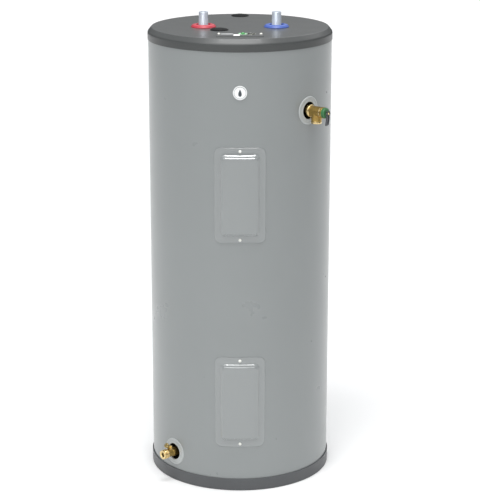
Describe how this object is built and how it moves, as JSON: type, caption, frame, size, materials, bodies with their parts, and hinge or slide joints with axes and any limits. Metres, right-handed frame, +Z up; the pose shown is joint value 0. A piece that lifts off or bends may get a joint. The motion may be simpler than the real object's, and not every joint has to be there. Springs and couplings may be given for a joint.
{
  "type": "tank water heater",
  "caption": "Upright cylindrical electric water heater with a grey jacket, dark cap and base, pipe nipples on top, a relief valve, a drain valve and removable access covers.",
  "frame": {"origin": "middle of the flat base, on the floor", "axes": "+Z up along the tank, -Y out of the service side with the two access covers, +X to the right of it"},
  "size_m": [0.5199, 0.525, 1.333],
  "materials": {
    "jacket_enamel": "satin grey enamel",
    "cap_enamel": "semi-gloss dark grey",
    "bright_steel": "bright steel",
    "zinc_steel": "zinc plated",
    "tank_steel": "dark glass-lined steel",
    "brass": "turned brass",
    "copper": "copper sheath",
    "magnesium": "cast magnesium",
    "red_plastic": "red marker",
    "blue_plastic": "blue marker",
    "black_plastic": "black moulded",
    "grey_plastic": "grey moulded",
    "liner_plastic": "pale liner",
    "green_plastic": "green cap",
    "badge_face": "white badge",
    "reset_red": "red button",
    "dial_white": "pale dial",
    "foam": "rigid foam",
    "foam_pad": "expanded foam pad",
    "dam_fibre": "glass fibre",
    "gasket_rubber": "black rubber",
    "guard_plastic": "thin guard",
    "wire_insulation": "wire covering",
    "dark_steel": "dark plated lever",
    "green_steel": "green ground screw"
  },
  "bodies": {
    "heater": {"base_pan": "cap_enamel", "outer_jacket": "jacket_enamel", "top_cap": "cap_enamel", "hot_marker_ring": "red_plastic", "cold_marker_ring": "blue_plastic", "anode_access_cap": "black_plastic", "foam_fill_plug": "black_plastic", "badge": "badge_face", "relief_valve_collar": "grey_plastic", "drain_valve_collar": "grey_plastic", "foam_insulation": "foam", "foam_dams": "dam_fibre", "tank_shell": "tank_steel", "tank_top_head": "tank_steel", "tank_bottom_head": "tank_steel", "tank_support_ring": "tank_steel", "tank_spuds": "tank_steel", "hot_outlet_nipple": "bright_steel", "cold_inlet_nipple": "bright_steel", "hot_nipple_liner": "liner_plastic", "dip_tube": "liner_plastic", "anode_plug": "zinc_steel", "anode_rod": "magnesium", "element_heads": "zinc_steel", "element_sheaths": "copper", "element_terminal_blocks": "black_plastic", "element_gaskets": "gasket_rubber", "upper_thermostat": "black_plastic", "lower_thermostat": "black_plastic", "high_limit_switch": "black_plastic", "thermostat_brackets": "zinc_steel", "terminal_screws": "brass", "upper_terminal_shield": "guard_plastic", "lower_terminal_shield": "guard_plastic", "junction_box": "zinc_steel", "wire_conduits": "grey_plastic", "supply_wires": "wire_insulation", "link_wires": "wire_insulation", "element_leads": "wire_insulation", "relief_valve_body": "brass", "relief_valve_cap": "green_plastic", "relief_valve_spring": "zinc_steel", "drain_valve_body": "brass"},
    "upper_cover": {"upper_access_cover": "jacket_enamel", "upper_cover_insulation": "foam_pad", "upper_cover_screws": "zinc_steel"},
    "lower_cover": {"lower_access_cover": "jacket_enamel", "lower_cover_insulation": "foam_pad", "lower_cover_screws": "zinc_steel"},
    "junction_cover": {"junction_box_cover": "cap_enamel", "junction_cover_screws": "zinc_steel", "ground_screw": "green_steel"},
    "relief_stem": {"relief_valve_stem": "brass", "relief_valve_probe": "copper", "relief_lever_pin": "zinc_steel"},
    "relief_lever": {"relief_valve_lever": "dark_steel"},
    "drain_stem": {"drain_valve_stem": "zinc_steel"},
    "upper_dial": {"upper_thermostat_dial": "dial_white"},
    "lower_dial": {"lower_thermostat_dial": "dial_white"},
    "reset": {"reset_button": "reset_red"}
  },
  "joints": [
    {"name": "upper_cover_off", "type": "slide", "parent": "heater", "child": "upper_cover", "axis": [0, -1, 0], "range_m": [0, 0.12]},
    {"name": "lower_cover_off", "type": "slide", "parent": "heater", "child": "lower_cover", "axis": [0, -1, 0], "range_m": [0, 0.12]},
    {"name": "junction_cover_off", "type": "slide", "parent": "heater", "child": "junction_cover", "axis": [0, 0, 1], "range_m": [0, 0.08]},
    {"name": "relief_lever_lift", "type": "hinge", "parent": "relief_stem", "child": "relief_lever", "pos_m": [0.23806, -0.22199, 1.084], "axis": [-0.682, -0.7314, 0], "range_deg": [0, 90], "stiffness_Nm_per_rad": 0.02},
    {"name": "relief_stem_lift", "type": "slide", "parent": "heater", "child": "relief_stem", "axis": [0.7314, -0.682, 0], "range_m": [0, 0.0035]},
    {"name": "drain_stem_turn", "type": "hinge", "parent": "heater", "child": "drain_stem", "pos_m": [-0.18874, -0.17295, 0.086], "axis": [-0.5648, -0.5175, 0.6428], "range_deg": [0, 720]},
    {"name": "upper_dial_turn", "type": "hinge", "parent": "heater", "child": "upper_dial", "pos_m": [0, -0.2, 0.871], "axis": [0, -1, 0], "range_deg": [-150, 90]},
    {"name": "lower_dial_turn", "type": "hinge", "parent": "heater", "child": "lower_dial", "pos_m": [0, -0.2, 0.274], "axis": [0, -1, 0], "range_deg": [-150, 90]},
    {"name": "reset_press", "type": "slide", "parent": "heater", "child": "reset", "axis": [0, 1, 0], "range_m": [0, 0.002], "stiffness_N_per_m": 500}
  ],
  "couplings": [
    {"joint": "relief_lever_lift", "follows": "relief_stem_lift", "rad_per_m": 448.35}
  ]
}
